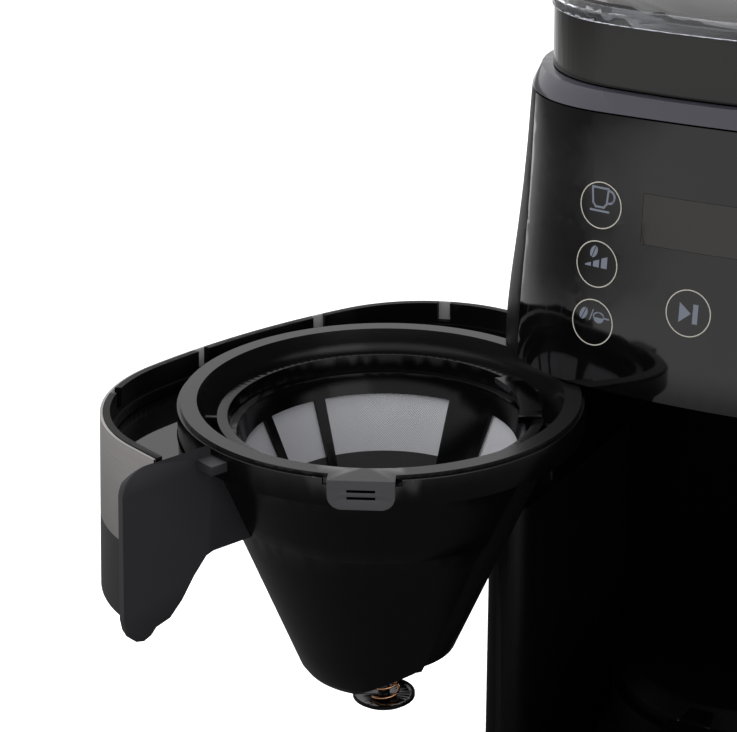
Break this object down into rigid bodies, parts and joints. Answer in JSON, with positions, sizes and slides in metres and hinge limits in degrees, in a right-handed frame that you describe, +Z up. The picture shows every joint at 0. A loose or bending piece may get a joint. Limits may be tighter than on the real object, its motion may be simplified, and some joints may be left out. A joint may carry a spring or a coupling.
{
  "type": "drip coffee maker",
  "caption": "Tall bean-to-jug drip coffee maker with a swing-out brew drawer holding a cone basket, a touch panel, a lidded bean hopper and water tank, and a black jug.",
  "frame": {"origin": "on the table, under the axis shared by the jug and the shut brew basket", "axes": "+Z up, front towards -Y, +X to the right as seen from the front"},
  "size_m": [0.3079, 0.4189, 0.4373],
  "materials": {
    "black_plastic": "satin black",
    "charcoal_plastic": "matt charcoal",
    "gloss_black": "gloss black",
    "display": "dark display glass",
    "steel": "brushed",
    "burr_steel": "hardened steel",
    "plate_metal": "coated",
    "rubber": "moulded",
    "copper": "coppered spring wire",
    "board": "circuit board",
    "smoke": "smoked clear plastic",
    "clear": "clear plastic",
    "jug_paint": "matt black"
  },
  "bodies": {
    "machine": {"base_housing": "black_plastic", "column_housing": "black_plastic", "left_pillar": "black_plastic", "right_pillar": "black_plastic", "head_housing": "black_plastic", "shower_head": "black_plastic", "coffee_chute": "black_plastic", "top_deck": "black_plastic", "collar": "black_plastic", "shoulder_ring": "black_plastic", "base_cover": "charcoal_plastic", "cable_inlet": "charcoal_plastic", "front_panel": "gloss_black", "touch_keys": "gloss_black", "display_window": "display", "display_module": "display", "hinge_pin": "steel", "base_screws": "steel", "burr_housing": "steel", "grinder_motor": "steel", "hopper_lid_pin": "steel", "tank_lid_pin": "steel", "upper_burr": "burr_steel", "warming_plate": "plate_metal", "heater_element": "plate_metal", "thermal_cutouts": "plate_metal", "feet": "rubber", "inlet_hose": "rubber", "riser_tube": "rubber", "control_board": "board", "power_board": "board", "board_standoffs": "board", "hopper": "smoke", "water_tank": "smoke"},
    "door": {"door_frame": "black_plastic", "steel_band": "steel", "lower_skirt": "charcoal_plastic", "tray_plate": "gloss_black", "end_plate": "charcoal_plastic", "basket_cradle": "charcoal_plastic", "brew_basket": "charcoal_plastic", "valve_spring": "copper"},
    "valve": {"valve_plunger": "steel", "valve_seal": "rubber"},
    "filter": {"filter_frame": "charcoal_plastic", "filter_mesh": "steel"},
    "carafe": {"carafe_body": "jug_paint", "carafe_band": "gloss_black", "carafe_handle": "gloss_black", "carafe_lid_pin": "steel"},
    "jug_lid": {"carafe_lid": "gloss_black"},
    "bean_lid": {"hopper_lid": "clear"},
    "water_lid": {"tank_lid": "black_plastic"},
    "grinder": {"grinder_shaft": "steel", "lower_burr": "burr_steel"}
  },
  "joints": [
    {"name": "door_swing", "type": "hinge", "parent": "machine", "child": "door", "pos_m": [-0.0944, -0.0235, 0.26], "axis": [0, 0, 1], "range_deg": [-15, 110.5]},
    {"name": "valve_slide", "type": "slide", "parent": "door", "child": "valve", "axis": [0, 0, 1], "range_m": [0, 0.004], "stiffness_N_per_m": 300, "springref_m": -0.004, "deforming": ["valve_spring"]},
    {"name": "filter_lift", "type": "slide", "parent": "door", "child": "filter", "axis": [0, 0, -1], "range_m": [-0.09, 0]},
    {"name": "carafe_slide", "type": "slide", "parent": "machine", "child": "carafe", "axis": [0, 1, 0], "range_m": [-0.17, 0]},
    {"name": "carafe_lid_hinge", "type": "hinge", "parent": "carafe", "child": "jug_lid", "pos_m": [0, -0.057, 0.149], "axis": [-1, 0, 0], "range_deg": [-95, 0]},
    {"name": "bean_lid_hinge", "type": "hinge", "parent": "machine", "child": "bean_lid", "pos_m": [0, 0.051, 0.434], "axis": [-1, 0, 0], "range_deg": [0, 85]},
    {"name": "water_lid_hinge", "type": "hinge", "parent": "machine", "child": "water_lid", "pos_m": [0, 0.176, 0.434], "axis": [-1, 0, 0], "range_deg": [0, 85]},
    {"name": "grinder_spin", "type": "hinge", "parent": "machine", "child": "grinder", "pos_m": [0, 0.04, 0.35], "axis": [0, 0, 1], "continuous": true}
  ]
}
